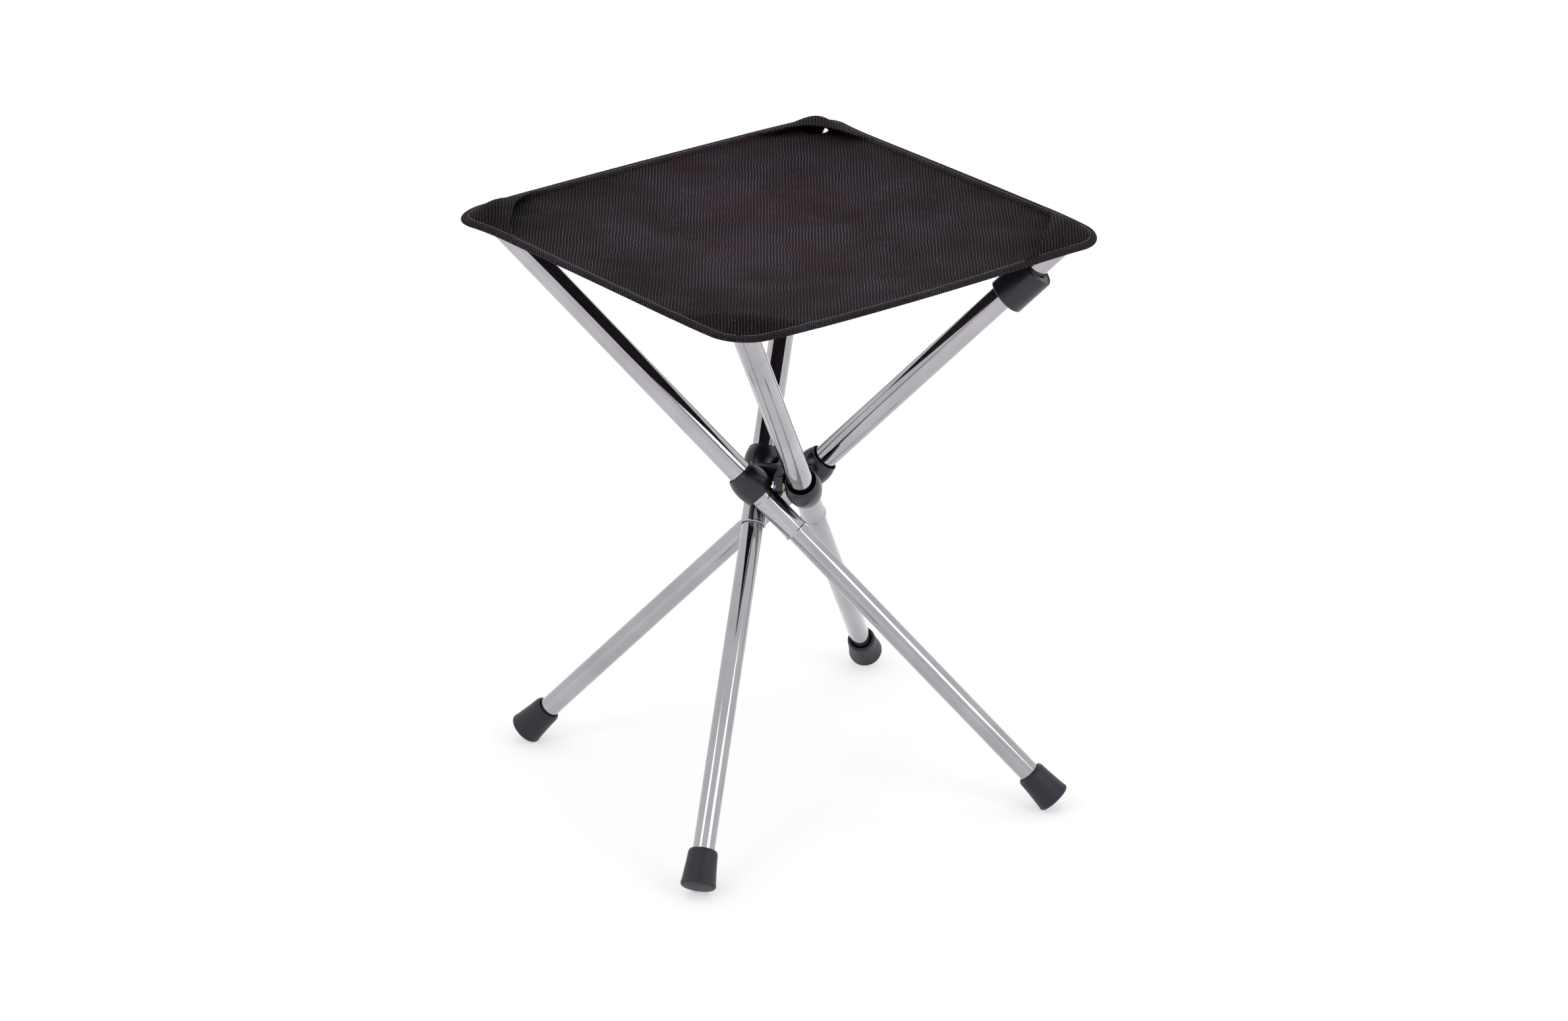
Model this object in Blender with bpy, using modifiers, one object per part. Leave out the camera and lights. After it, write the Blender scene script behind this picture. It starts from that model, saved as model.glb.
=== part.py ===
"""Folding camping stool: four telescopic legs crossing at a hub, cloth seat.

Metres, +Z up, origin on the ground under the hub. The stool stands open.
"""

import bpy
import bmesh
import math
from mathutils import Matrix, Vector

# Driving dimensions

LEAN = math.radians(44.0)          # lean of a leg from upright
GAP = 0.0003                       # clearance between parts that fit together

TUBE_R = 0.0095                    # upper tube, outside
WALL = 0.0008
SLIDE_GAP = 0.00045                # between the lower tube and the bore it slides in
MOUTH_Z = -0.0514                  # lower end of the upper tube
TRAVEL = 0.2600                    # how far the lower tube slides in
TRAVEL_SPARE = 0.0012              # left between foot and mouth when slid in
FOOT_LEN = 0.0285
FOOT_R = 0.0135
FOOT_DOME = 0.0010                 # crown of the foot's underside
FOOT_CUT = 0.0010                  # how deep the ground flat cuts the foot
FOOT_FLOOR = 0.0045                # rubber under the tube's end
PLUG_LEN = 0.0120                  # plug in the tube's top end
SLIDER_LEN = 0.0200                # plug in the lower tube's inner end
SLIDER_HEAD = 0.0032               # its head, above the tube
SLIDER_SPARE = 0.0008              # left between the two plugs when slid in
BUSH_LEN = 0.0180                  # friction bush behind the mouth

CORE_HALF = 0.00535                # half the thickness of the hub's arms
COLLAR_HALF = 0.0115
COLLAR_WALL = 0.00435              # collar at its belly, outside its bore
BOSS_GAP = 0.0010                  # room for the washer between arm and collar
ARM_GAP = 0.0012                   # arm clear of the next collar as that one swings
ARM_HALF = 0.0040                  # half the arms' height
PIN_R = 0.0025
PIN_HEAD_R = 0.00325

SEAT_HALF = 0.1770                 # half the side of the seat
SAG_EDGE = 0.0015                  # sag of the hems at mid-side
SAG_MIDDLE = 0.0095                # further sag of the middle
BIND_HALF = 0.0016                 # half the binding's thickness
BIND_IN = 0.0085                   # width of the binding
HOOD_WALL = 0.0010                 # cloth of the pockets
HOOD_HIGH = 0.0150                 # crown of their free edge above the hems
TUBE_IN = 0.0396                   # tube's end inside the seat's corner, in plan
SEAT_DROP = 0.0030                 # hems below the tube's end
CORNER_R = 0.0290                  # rounding of the seat's corners in plan
POCKET = 0.0750                    # corner pocket, along the hem from the square corner
CLOTH = 0.0012
CLIP_DROP = 0.0580                 # storage clip's middle below its tube's end
CLIP_HALF = 0.0165                 # half its length
CLIP_SIDE = 0.0036                 # wall at its lips
CLIP_SWELL = 0.0048                # how much thicker its back is

# Values that follow

BORE_R = TUBE_R + GAP
COLLAR_R = BORE_R + COLLAR_WALL
HUB_HALF = CORE_HALF + BOSS_GAP + COLLAR_R  # half the side of the square of collars
INNER_R = TUBE_R - WALL
LOWER_R = INNER_R - SLIDE_GAP      # lower tube, outside
FOOT_TOP = MOUTH_Z - TRAVEL - TRAVEL_SPARE
FOOT_END = FOOT_TOP - FOOT_LEN
FOOT_GRIP = FOOT_LEN - FOOT_FLOOR  # how far the tube reaches into the foot
HUB_Z = FOOT_R * math.sin(LEAN) - FOOT_END * math.cos(LEAN) - FOOT_CUT
SEAT_TIP = SEAT_HALF * math.sqrt(2) - CORNER_R * (math.sqrt(2) - 1)
SEAT_TURN = math.asin(HUB_HALF / SEAT_TIP)  # brings each corner in line with its tube
TUBE_TOP = (SEAT_TIP - TUBE_IN) / math.sin(LEAN)
SEAT_Z = HUB_Z + TUBE_TOP * math.cos(LEAN) - SEAT_DROP
LOWER_TOP = TUBE_TOP - PLUG_LEN - TRAVEL - SLIDER_HEAD - SLIDER_SPARE
CLIP_Z = TUBE_TOP - CLIP_DROP
COLLAR_SWING = math.hypot(COLLAR_HALF, COLLAR_R - 0.0015)
ARM_BACK = COLLAR_SWING + ARM_GAP - HUB_HALF
ARM_END = HUB_HALF + PIN_HEAD_R + 0.00125

LEGS = ("front", "right", "back", "left")
SEG = 24

for old in list(bpy.data.objects):
    bpy.data.objects.remove(old, do_unlink=True)

stool = bpy.data.collections.new("camping_stool")
cutters = bpy.data.collections.new("cutters")
bpy.context.scene.collection.children.link(stool)
bpy.context.scene.collection.children.link(cutters)


def make_material(name, colour, roughness, metallic):
    mat = bpy.data.materials.new(name)
    mat.use_nodes = True
    shader = mat.node_tree.nodes["Principled BSDF"]
    shader.inputs["Base Color"].default_value = (*colour, 1.0)
    shader.inputs["Roughness"].default_value = roughness
    shader.inputs["Metallic"].default_value = metallic
    mat.diffuse_color = (*colour, 1.0)
    return mat


def add_object(name, data, mat=None, parent=None, collection=None):
    obj = bpy.data.objects.new(name, data)
    (collection or stool).objects.link(obj)
    if mat is not None and not data.materials:
        data.materials.append(mat)
    if parent is not None:
        obj.parent = parent
    return obj


def add_empty(name, matrix):
    empty = bpy.data.objects.new(name, None)
    empty.empty_display_size = COLLAR_HALF
    stool.objects.link(empty)
    empty.matrix_world = matrix
    return empty


def mesh_from_bmesh(name, bm):
    bmesh.ops.recalc_face_normals(bm, faces=bm.faces)
    mesh = bpy.data.meshes.new(name)
    bm.to_mesh(mesh)
    bm.free()
    return mesh


def turned_mesh(name, profile):
    """Closed profile of (radius, height), drawn down its outer side."""
    mesh = bpy.data.meshes.new(name)
    points = [(r, 0.0, z) for r, z in profile]
    count = len(points)
    on_axis = profile[0][0] == 0.0
    edges = [(i, i + 1) for i in range(count - 1)]
    if not on_axis:
        edges.append((count - 1, 0))
    mesh.from_pydata(points, edges, [])
    return mesh


def add_screw(obj, steps=SEG):
    screw = obj.modifiers.new("Turned", "SCREW")
    screw.axis = "Z"
    screw.steps = steps
    screw.render_steps = steps
    screw.use_merge_vertices = True
    screw.merge_threshold = 0.00001
    screw.use_smooth_shade = True
    return screw


def add_cut(obj, cutter):
    cut = obj.modifiers.new("Cut", "BOOLEAN")
    cut.operation = "DIFFERENCE"
    cut.solver = "EXACT"
    cut.object = cutter
    return cut


def cylinder_mesh(name, radius, depth, segments=20):
    bm = bmesh.new()
    bmesh.ops.create_cone(bm, cap_ends=True, segments=segments,
                          radius1=radius, radius2=radius, depth=depth)
    return mesh_from_bmesh(name, bm)


def hide_cutter(obj):
    obj.hide_render = True
    obj.display_type = "WIRE"
    return obj


# Materials

steel = make_material("polished_steel", (0.78, 0.79, 0.80), 0.12, 1.0)
inner_steel = make_material("plain_steel", (0.62, 0.63, 0.65), 0.25, 1.0)
black = make_material("satin_black", (0.012, 0.012, 0.013), 0.38, 0.0)
rubber = make_material("foot_rubber", (0.018, 0.021, 0.028), 0.55, 0.0)
brass = make_material("washer_brass", (0.72, 0.52, 0.24), 0.25, 1.0)
nylon = make_material("plug_nylon", (0.05, 0.05, 0.055), 0.50, 0.0)
ring_steel = make_material("spring_steel", (0.45, 0.46, 0.48), 0.30, 1.0)
ribbed = make_material("ribbed_cloth", (0.016, 0.015, 0.017), 0.85, 0.0)
tape = make_material("binding_tape", (0.011, 0.011, 0.012), 0.80, 0.0)

# Hub: a pinwheel core that carries four pivot pins

core_points = []
for k in range(4):
    turn = Matrix.Rotation(k * math.pi / 2, 3, "Z")
    for x, y in ((ARM_BACK, -CORE_HALF), (ARM_BACK, -ARM_END), (CORE_HALF, -ARM_END)):
        core_points.append(turn @ Vector((x, y, 0.0)))
core_curve = bpy.data.curves.new("hub_core", "CURVE")
core_curve.dimensions = "2D"
core_curve.fill_mode = "BOTH"
core_curve.extrude = ARM_HALF
spline = core_curve.splines.new("POLY")
spline.points.add(len(core_points) - 1)
for point, co in zip(spline.points, core_points):
    point.co = (*co, 1.0)
spline.use_cyclic_u = True
core_source = bpy.data.objects.new("core_outline", core_curve)
cutters.objects.link(core_source)
core_mesh = bpy.data.meshes.new_from_object(
    core_source.evaluated_get(bpy.context.evaluated_depsgraph_get()))
core_mesh.name = "hub_core"
bpy.data.objects.remove(core_source, do_unlink=True)
bm = bmesh.new()
bm.from_mesh(core_mesh)
bmesh.ops.remove_doubles(bm, verts=bm.verts, dist=0.00001)
bm.to_mesh(core_mesh)
bm.free()
core_mesh.materials.clear()
hub_core = add_object("hub_core", core_mesh, black)
hub_core.location = (0.0, 0.0, HUB_Z)

# Leg frames: origin on the pin, local X along the pin, local Z up the leg

frames = {}
for k, leg in enumerate(LEGS):
    spin = Matrix.Rotation(k * math.pi / 2, 4, "Z")
    centre = spin @ Vector((HUB_HALF, -HUB_HALF, 0.0))
    place = Matrix.Translation(centre + Vector((0.0, 0.0, HUB_Z)))
    frames[leg] = add_empty("axis_" + leg, place @ spin @ Matrix.Rotation(LEAN, 4, "X"))
bpy.context.view_layer.update()

# Pins: head sunk in the arm, shank through arm and washer into the collar wall

pin_back = ARM_BACK - HUB_HALF
pin_tip = -BORE_R - 0.0004
head_in = pin_back + 0.0003
head_out = head_in + 0.0015
pin_profile = [(0.0, pin_tip), (PIN_R, pin_tip), (PIN_R, head_out),
               (PIN_HEAD_R, head_out), (PIN_HEAD_R, head_in + 0.0004),
               (PIN_HEAD_R - 0.0005, head_in), (0.0, head_in)]
pin_mesh = turned_mesh("pivot_pin", pin_profile)
washer_in = CORE_HALF - HUB_HALF + 0.0002
washer_out = washer_in + 0.0005
WASHER_R = PIN_R + 0.0021
washer_mesh = turned_mesh("pivot_washer", [
    (WASHER_R, washer_out), (WASHER_R, washer_in),
    (PIN_R + GAP, washer_in), (PIN_R + GAP, washer_out)])
shank_hole = cylinder_mesh("shank_hole", PIN_R + GAP, CORE_HALF - ARM_BACK + 0.004)
head_hole = cylinder_mesh("head_hole", PIN_HEAD_R + GAP, 0.004)
wall_hole = cylinder_mesh("wall_hole", PIN_R + GAP, COLLAR_WALL + 0.002)

for k, leg in enumerate(LEGS):
    spin = Matrix.Rotation(k * math.pi / 2, 4, "Z")
    centre = spin @ Vector((HUB_HALF, -HUB_HALF, 0.0))
    along = (Matrix.Translation(centre + Vector((0.0, 0.0, HUB_Z))) @ spin
             @ Matrix.Rotation(math.pi / 2, 4, "Y"))
    pin = add_object("pivot_pin_" + leg, pin_mesh, steel)
    pin.matrix_world = along
    add_screw(pin, 16)
    washer = add_object("pivot_washer_" + leg, washer_mesh, brass)
    washer.matrix_world = along
    add_screw(washer, 16)
    hole = hide_cutter(add_object("shank_hole_" + leg, shank_hole, None, None, cutters))
    hole.matrix_world = along @ Matrix.Translation((0.0, 0.0, (CORE_HALF + ARM_BACK) / 2 - HUB_HALF))
    add_cut(hub_core, hole)
    sink = hide_cutter(add_object("head_hole_" + leg, head_hole, None, None, cutters))
    sink.matrix_world = along @ Matrix.Translation((0.0, 0.0, head_out + GAP - 0.002))
    add_cut(hub_core, sink)

# Legs: collar, upper tube, plugs, lower tube, foot

collar_shape = [                   # how far inside the belly, and height as a share of the half
    (0.00260, 1.0), (0.00230, 0.965), (0.00225, 0.887), (0.00095, 0.609), (0.00030, 0.304),
    (0.0, 0.104), (0.0, -0.104), (0.00030, -0.435), (0.00115, -0.817), (0.00150, -0.887),
    (0.00155, -0.974), (0.00185, -1.0)]
CUP_WALL = 0.0004
CUP_DEEP = 0.0029
collar_profile = [(COLLAR_R - inside, COLLAR_HALF * share) for inside, share in collar_shape]
collar_profile += [
    (BORE_R, -COLLAR_HALF), (BORE_R, COLLAR_HALF - CUP_DEEP - 0.0006),
    (COLLAR_R - 0.0026 - CUP_WALL, COLLAR_HALF - CUP_DEEP),
    (COLLAR_R - 0.0026 - CUP_WALL, COLLAR_HALF)]
GROOVE_Z = -COLLAR_HALF - 0.0041
MOUTH_R = TUBE_R + 0.0005
tube_profile = [
    (TUBE_R, TUBE_TOP), (TUBE_R, GROOVE_Z + 0.0006), (TUBE_R - 0.0003, GROOVE_Z),
    (TUBE_R, GROOVE_Z - 0.0006), (TUBE_R, MOUTH_Z + 0.0018), (MOUTH_R, MOUTH_Z + 0.0013),
    (MOUTH_R, MOUTH_Z + 0.0004), (MOUTH_R - 0.0004, MOUTH_Z), (INNER_R, MOUTH_Z),
    (INNER_R, TUBE_TOP)]
cap_end = TUBE_TOP + 0.0013
plug_profile = [
    (0.0, cap_end), (TUBE_R - 0.0006, cap_end), (TUBE_R, cap_end - 0.0004),
    (TUBE_R, TUBE_TOP + 0.0002), (INNER_R - GAP, TUBE_TOP + 0.0002),
    (INNER_R - GAP, TUBE_TOP - PLUG_LEN), (0.0, TUBE_TOP - PLUG_LEN)]
lower_profile = [
    (LOWER_R, LOWER_TOP), (LOWER_R, FOOT_TOP - FOOT_GRIP),
    (LOWER_R - WALL, FOOT_TOP - FOOT_GRIP), (LOWER_R - WALL, LOWER_TOP)]
slider_profile = [
    (0.0, LOWER_TOP + SLIDER_HEAD), (INNER_R - 0.0008, LOWER_TOP + SLIDER_HEAD),
    (INNER_R - GAP, LOWER_TOP + SLIDER_HEAD - 0.0006), (INNER_R - GAP, LOWER_TOP + 0.0002),
    (LOWER_R - WALL - GAP, LOWER_TOP + 0.0002), (LOWER_R - WALL - GAP, LOWER_TOP - SLIDER_LEN),
    (0.0, LOWER_TOP - SLIDER_LEN)]
bush_low = MOUTH_Z + 0.0020
BUSH_GAP = SLIDE_GAP * 0.18
bush_profile = [
    (INNER_R - BUSH_GAP, bush_low + BUSH_LEN), (INNER_R - BUSH_GAP, bush_low),
    (LOWER_R + BUSH_GAP, bush_low), (LOWER_R + BUSH_GAP, bush_low + BUSH_LEN)]
foot_profile = [
    (LOWER_R + GAP, FOOT_TOP), (FOOT_R - 0.0035, FOOT_TOP), (FOOT_R - 0.00235, FOOT_TOP - 0.0012),
    (FOOT_R - 0.00165, FOOT_TOP - 0.35 * FOOT_LEN), (FOOT_R - 0.0003, FOOT_END + 0.0032),
    (FOOT_R, FOOT_END + 0.0024), (FOOT_R, FOOT_END + 0.0010), (FOOT_R - 0.0010, FOOT_END),
    (0.0, FOOT_END - FOOT_DOME), (0.0, FOOT_TOP - FOOT_GRIP - 0.0005),
    (LOWER_R + GAP, FOOT_TOP - FOOT_GRIP - 0.0005)]

collar_mesh = turned_mesh("collar", collar_profile)
tube_mesh = turned_mesh("upper_tube", tube_profile)
plug_mesh = turned_mesh("top_plug", plug_profile)
lower_mesh = turned_mesh("lower_tube", lower_profile)
slider_mesh = turned_mesh("slide_plug", slider_profile)
bush_mesh = turned_mesh("friction_bush", bush_profile)
foot_mesh = bpy.data.meshes.new("foot")
foot_points = [(r, 0.0, z) for r, z in foot_profile]
foot_edges = [(i, i + 1) for i in range(8)] + [(9, 10), (10, 0)]
foot_mesh.from_pydata(foot_points, foot_edges, [])

bm = bmesh.new()
bmesh.ops.create_cube(bm, size=1.0)
ground_mesh = mesh_from_bmesh("ground_cut", bm)
ground_cut = hide_cutter(add_object("ground_cut", ground_mesh, None, None, cutters))
ground_cut.location = (0.0, 0.0, -0.5)

for leg in LEGS:
    frame = frames[leg]
    collar = add_object("collar_" + leg, collar_mesh, black, frame)
    add_screw(collar)
    hole = hide_cutter(add_object("wall_hole_" + leg, wall_hole, None, frame, cutters))
    hole.rotation_euler = (0.0, math.pi / 2, 0.0)
    hole.location = (-BORE_R - COLLAR_WALL / 2, 0.0, 0.0)
    add_cut(collar, hole)
    for label, mesh, mat in (
            ("upper_tube_", tube_mesh, steel), ("top_plug_", plug_mesh, nylon),
            ("lower_tube_", lower_mesh, inner_steel), ("slide_plug_", slider_mesh, nylon),
            ("friction_bush_", bush_mesh, ring_steel), ("foot_", foot_mesh, rubber)):
        piece = add_object(label + leg, mesh, mat, frame)
        add_screw(piece)
        if label == "foot_":
            add_cut(piece, ground_cut)

# Storage clip: a thick-backed open C round the right leg's upper tube

CLIP_IN = TUBE_R + GAP
clip_outline = []
inner_arc = []
for step in range(13):
    angle = math.radians(-128 + step * 256 / 12)
    inner_arc.append((CLIP_IN * math.cos(angle), CLIP_IN * math.sin(angle)))
for step in range(15):
    angle = math.radians(128 - step * 256 / 14)
    swell = CLIP_SIDE + CLIP_SWELL * max(0.0, math.cos(angle)) ** 1.5
    radius = CLIP_IN + swell
    clip_outline.append((radius * math.cos(angle), radius * math.sin(angle)))
clip_curve = bpy.data.curves.new("storage_clip", "CURVE")
clip_curve.dimensions = "2D"
clip_curve.fill_mode = "BOTH"
clip_curve.extrude = CLIP_HALF
spline = clip_curve.splines.new("POLY")
outline = inner_arc + clip_outline
spline.points.add(len(outline) - 1)
for point, (x, y) in zip(spline.points, outline):
    point.co = (x, y, 0.0, 1.0)
spline.use_cyclic_u = True
clip_source = bpy.data.objects.new("clip_outline", clip_curve)
cutters.objects.link(clip_source)
clip_mesh = bpy.data.meshes.new_from_object(
    clip_source.evaluated_get(bpy.context.evaluated_depsgraph_get()))
clip_mesh.name = "storage_clip"
bpy.data.objects.remove(clip_source, do_unlink=True)
bm = bmesh.new()
bm.from_mesh(clip_mesh)
bmesh.ops.remove_doubles(bm, verts=bm.verts, dist=0.00001)
bm.to_mesh(clip_mesh)
bm.free()
clip_mesh.materials.clear()
clip = add_object("storage_clip", clip_mesh, black, frames["right"])
clip.location = (0.0, 0.0, CLIP_Z)
clip.rotation_euler = (0.0, 0.0, math.radians(-130.0))
round_edge = clip.modifiers.new("Rounded", "BEVEL")
round_edge.width = 0.0012
round_edge.segments = 2
round_edge.limit_method = "ANGLE"
round_edge.angle_limit = math.radians(60)


# Seat cloth: one sagging panel with its corners cut away under the pockets

ALONG_X = Matrix.Rotation(math.pi / 4 + SEAT_TURN, 3, "Z") @ Vector((1.0, 0.0, 0.0))
ALONG_Y = Matrix.Rotation(math.pi / 2, 3, "Z") @ ALONG_X


def seat_point(x, y, rise=0.0):
    """Point of the sagging seat in its own square: front corner at (-, -), right one at (+, -)."""
    f = 1 - min(1.0, abs(x) / SEAT_HALF) ** 2
    g = 1 - min(1.0, abs(y) / SEAT_HALF) ** 2
    sag = SAG_EDGE * (f + g) + SAG_MIDDLE * f * g
    return ALONG_X * x + ALONG_Y * y + Vector((0.0, 0.0, SEAT_Z - sag + rise))


EDGE_IN = 0.0016                    # panel edge inside the binding
PANEL_CUT = POCKET - 0.0030         # panel corner cut, along the hem
cells = 22
bm = bmesh.new()
grid = {}
for i in range(cells + 1):
    for j in range(cells + 1):
        span = SEAT_HALF - EDGE_IN
        grid[i, j] = bm.verts.new(seat_point(span * (2 * i / cells - 1), span * (2 * j / cells - 1)))
for i in range(cells):
    for j in range(cells):
        bm.faces.new((grid[i, j], grid[i + 1, j], grid[i + 1, j + 1], grid[i, j + 1]))
for k in range(4):
    turn = Matrix.Rotation(k * math.pi / 2, 3, "Z")
    outward = turn @ -(ALONG_X + ALONG_Y).normalized()
    reach = (2 * SEAT_HALF - PANEL_CUT) / math.sqrt(2)
    bmesh.ops.bisect_plane(bm, geom=bm.verts[:] + bm.edges[:] + bm.faces[:],
                           plane_co=outward * reach, plane_no=outward, clear_outer=True)
panel_mesh = bpy.data.meshes.new("seat_cloth")
bmesh.ops.recalc_face_normals(bm, faces=bm.faces)
bm.to_mesh(panel_mesh)
bm.free()
for face in panel_mesh.polygons:
    face.use_smooth = True
seat_cloth = add_object("seat_cloth", panel_mesh, ribbed)
thick = seat_cloth.modifiers.new("Cloth", "SOLIDIFY")
thick.thickness = CLOTH
thick.offset = 0.0

# Edge bindings: a folded tape along each side, between the pockets

tape_section = [
    (0.0, BIND_HALF - 0.0004), (-0.0004, BIND_HALF), (-BIND_IN, BIND_HALF),
    (-BIND_IN, CLOTH / 2 + GAP), (-0.0011, CLOTH / 2 + GAP), (-0.0011, -CLOTH / 2 - GAP),
    (-BIND_IN, -CLOTH / 2 - GAP), (-BIND_IN, -BIND_HALF), (-0.0004, -BIND_HALF),
    (0.0, -BIND_HALF + 0.0004)]
stations = 10
for k, side in enumerate(("front_right", "back_right", "back_left", "front_left")):
    turn = Matrix.Rotation(k * math.pi / 2, 3, "Z")
    bm = bmesh.new()
    rings = []
    for step in range(stations + 1):
        x = (SEAT_HALF - POCKET - GAP) * (2 * step / stations - 1)
        rings.append([bm.verts.new(turn @ seat_point(x, -SEAT_HALF - out, up)) for out, up in tape_section])
    count = len(tape_section)
    for low, high in zip(rings, rings[1:]):
        for n in range(count):
            bm.faces.new((low[n], low[(n + 1) % count], high[(n + 1) % count], high[n]))
    bm.faces.new(rings[0])
    bm.faces.new(list(reversed(rings[-1])))
    add_object("edge_binding_" + side, mesh_from_bmesh("edge_binding", bm), tape)

# Corner pockets: a hood over each tube end, open toward the seat's middle.
# Each row runs from hem to hem over the top; depth counts inward from the rounded tip.

HOOD_LONG = POCKET - CORNER_R * (1 - math.pi / 4)   # outline from tip to free edge
HOOD_DEEP = (POCKET - CORNER_R) / math.sqrt(2) + CORNER_R * (1 - math.sqrt(0.5))
hood_rows = [                      # shares of outline length, depth and height along the ridge
    (0.030, 0.005, 0.015), (0.145, 0.070, 0.120), (0.276, 0.205, 0.270), (0.421, 0.390, 0.470),
    (0.596, 0.598, 0.730), (0.800, 0.817, 0.890), (1.0, 1.0, 1.0)]
ACROSS = 14


def outline(length):
    """Depth and half width of the seat's rounded outline, at a length from the tip."""
    quarter = CORNER_R * math.pi / 4
    angle = min(length, quarter) / CORNER_R
    depth, width = CORNER_R * (1 - math.cos(angle)), CORNER_R * math.sin(angle)
    rest = max(0.0, length - quarter) / math.sqrt(2)
    return depth + rest, width + rest


def pocket_mesh():
    outward = -(ALONG_X + ALONG_Y).normalized()
    across = Matrix.Rotation(math.pi / 2, 3, "Z") @ outward
    tip = outward * SEAT_TIP
    bm = bmesh.new()
    rows = []
    for length_share, deep_share, high_share in hood_rows:
        deep, high = HOOD_DEEP * deep_share, HOOD_HIGH * high_share
        hem_deep, hem_wide = outline(HOOD_LONG * length_share)
        low = -BIND_HALF
        row = []
        for n in range(ACROSS + 1):
            turn = math.pi * (n / ACROSS - 0.5)
            wide = math.copysign(abs(math.sin(turn)) ** 0.75, turn)
            tall = max(0.0, math.cos(turn)) ** 0.75
            depth = deep + (hem_deep - deep) * (1 - tall)
            spot = tip - outward * depth + across * (wide * hem_wide)
            spot.z = SEAT_Z + low + (high - low) * tall
            row.append(bm.verts.new(spot))
        rows.append(row)
    for low, up in zip(rows, rows[1:]):
        for n in range(ACROSS):
            bm.faces.new((low[n], low[n + 1], up[n + 1], up[n]))
    bmesh.ops.recalc_face_normals(bm, faces=bm.faces)
    top = max(bm.faces, key=lambda face: face.calc_center_median().z)
    if top.normal.z < 0:
        bmesh.ops.reverse_faces(bm, faces=bm.faces)
    mesh = bpy.data.meshes.new("corner_pocket")
    bm.to_mesh(mesh)
    bm.free()
    for face in mesh.polygons:
        face.use_smooth = True
    return mesh


hood_mesh = pocket_mesh()
hood_mesh.transform(frames["front"].matrix_world.inverted())
for leg in LEGS:
    pocket = add_object("corner_pocket_" + leg, hood_mesh, ribbed, frames[leg])
    shell = pocket.modifiers.new("Cloth", "SOLIDIFY")
    shell.thickness = HOOD_WALL
    shell.offset = 1.0

bpy.context.view_layer.update()
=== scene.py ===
import bpy
import bmesh
import math
from mathutils import Matrix, Vector, noise


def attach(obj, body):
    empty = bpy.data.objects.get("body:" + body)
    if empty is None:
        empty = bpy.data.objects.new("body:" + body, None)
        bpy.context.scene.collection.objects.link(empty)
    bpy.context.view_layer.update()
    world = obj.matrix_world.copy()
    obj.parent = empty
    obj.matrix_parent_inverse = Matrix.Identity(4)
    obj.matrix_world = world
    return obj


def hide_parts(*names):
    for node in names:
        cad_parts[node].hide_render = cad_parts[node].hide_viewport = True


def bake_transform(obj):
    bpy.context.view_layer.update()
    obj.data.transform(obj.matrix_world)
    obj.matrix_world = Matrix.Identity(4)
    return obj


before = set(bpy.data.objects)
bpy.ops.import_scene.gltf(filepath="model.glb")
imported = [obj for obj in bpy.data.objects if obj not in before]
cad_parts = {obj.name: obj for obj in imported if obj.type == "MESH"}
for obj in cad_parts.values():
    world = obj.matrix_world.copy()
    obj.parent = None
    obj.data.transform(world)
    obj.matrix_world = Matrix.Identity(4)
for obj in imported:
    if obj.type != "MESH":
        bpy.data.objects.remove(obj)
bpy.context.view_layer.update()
print("frame loaded")

legNames = ["front", "right", "back", "left"]
hub = {"half": 0.0205, "height": 0.253745, "lean": math.radians(44.0)}
seat = {"half": 0.1770, "round": 0.0290, "height": 0.456512, "tip": 0.238304, "turn": 0.086129,
        "cloth": 0.0012, "pocket": 0.0750, "edgeIn": 0.0016, "hole": (0.2147, 0.0107, 0.0103),
        "hemLift": (0.0026, 0.0028, 0.0020, -0.0018),
        "sagEdge": 0.0015, "sagMiddle": 0.0095}


# where the collars stand; local Z runs up the leg or along the pin

def collarPlace(k):
    spin = Matrix.Rotation(k * math.pi / 2, 4, "Z")
    centre = spin @ Vector((hub["half"], -hub["half"], 0.0))
    return Matrix.Translation(centre + Vector((0.0, 0.0, hub["height"]))) @ spin


legFrames = {name: collarPlace(k) @ Matrix.Rotation(hub["lean"], 4, "X") for k, name in enumerate(legNames)}
pinFrames = {name: collarPlace(k) @ Matrix.Rotation(math.pi / 2, 4, "Y") for k, name in enumerate(legNames)}


# small helpers for shader trees

def newMaterial(name):
    mat = bpy.data.materials.new(name)
    mat.use_nodes = True
    tree = mat.node_tree
    return mat, tree, tree.nodes["Principled BSDF"]


def objectCoords(tree, scale=(1, 1, 1), turn=(0, 0, 0)):
    coords = tree.nodes.new("ShaderNodeTexCoord")
    mapping = tree.nodes.new("ShaderNodeMapping")
    mapping.inputs["Scale"].default_value = scale
    mapping.inputs["Rotation"].default_value = turn
    tree.links.new(coords.outputs["Object"], mapping.inputs["Vector"])
    return mapping.outputs["Vector"]


def uvCoords(tree, scale):
    coords = tree.nodes.new("ShaderNodeUVMap")
    coords.uv_map = "around"
    mapping = tree.nodes.new("ShaderNodeMapping")
    mapping.inputs["Scale"].default_value = scale
    tree.links.new(coords.outputs["UV"], mapping.inputs["Vector"])
    return mapping.outputs["Vector"]


def noiseOf(tree, vector, scale, detail=3.0, rough=0.5):
    tex = tree.nodes.new("ShaderNodeTexNoise")
    tex.inputs["Scale"].default_value = scale
    tex.inputs["Detail"].default_value = detail
    tex.inputs["Roughness"].default_value = rough
    tree.links.new(vector, tex.inputs["Vector"])
    return tex.outputs["Fac"]


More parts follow.
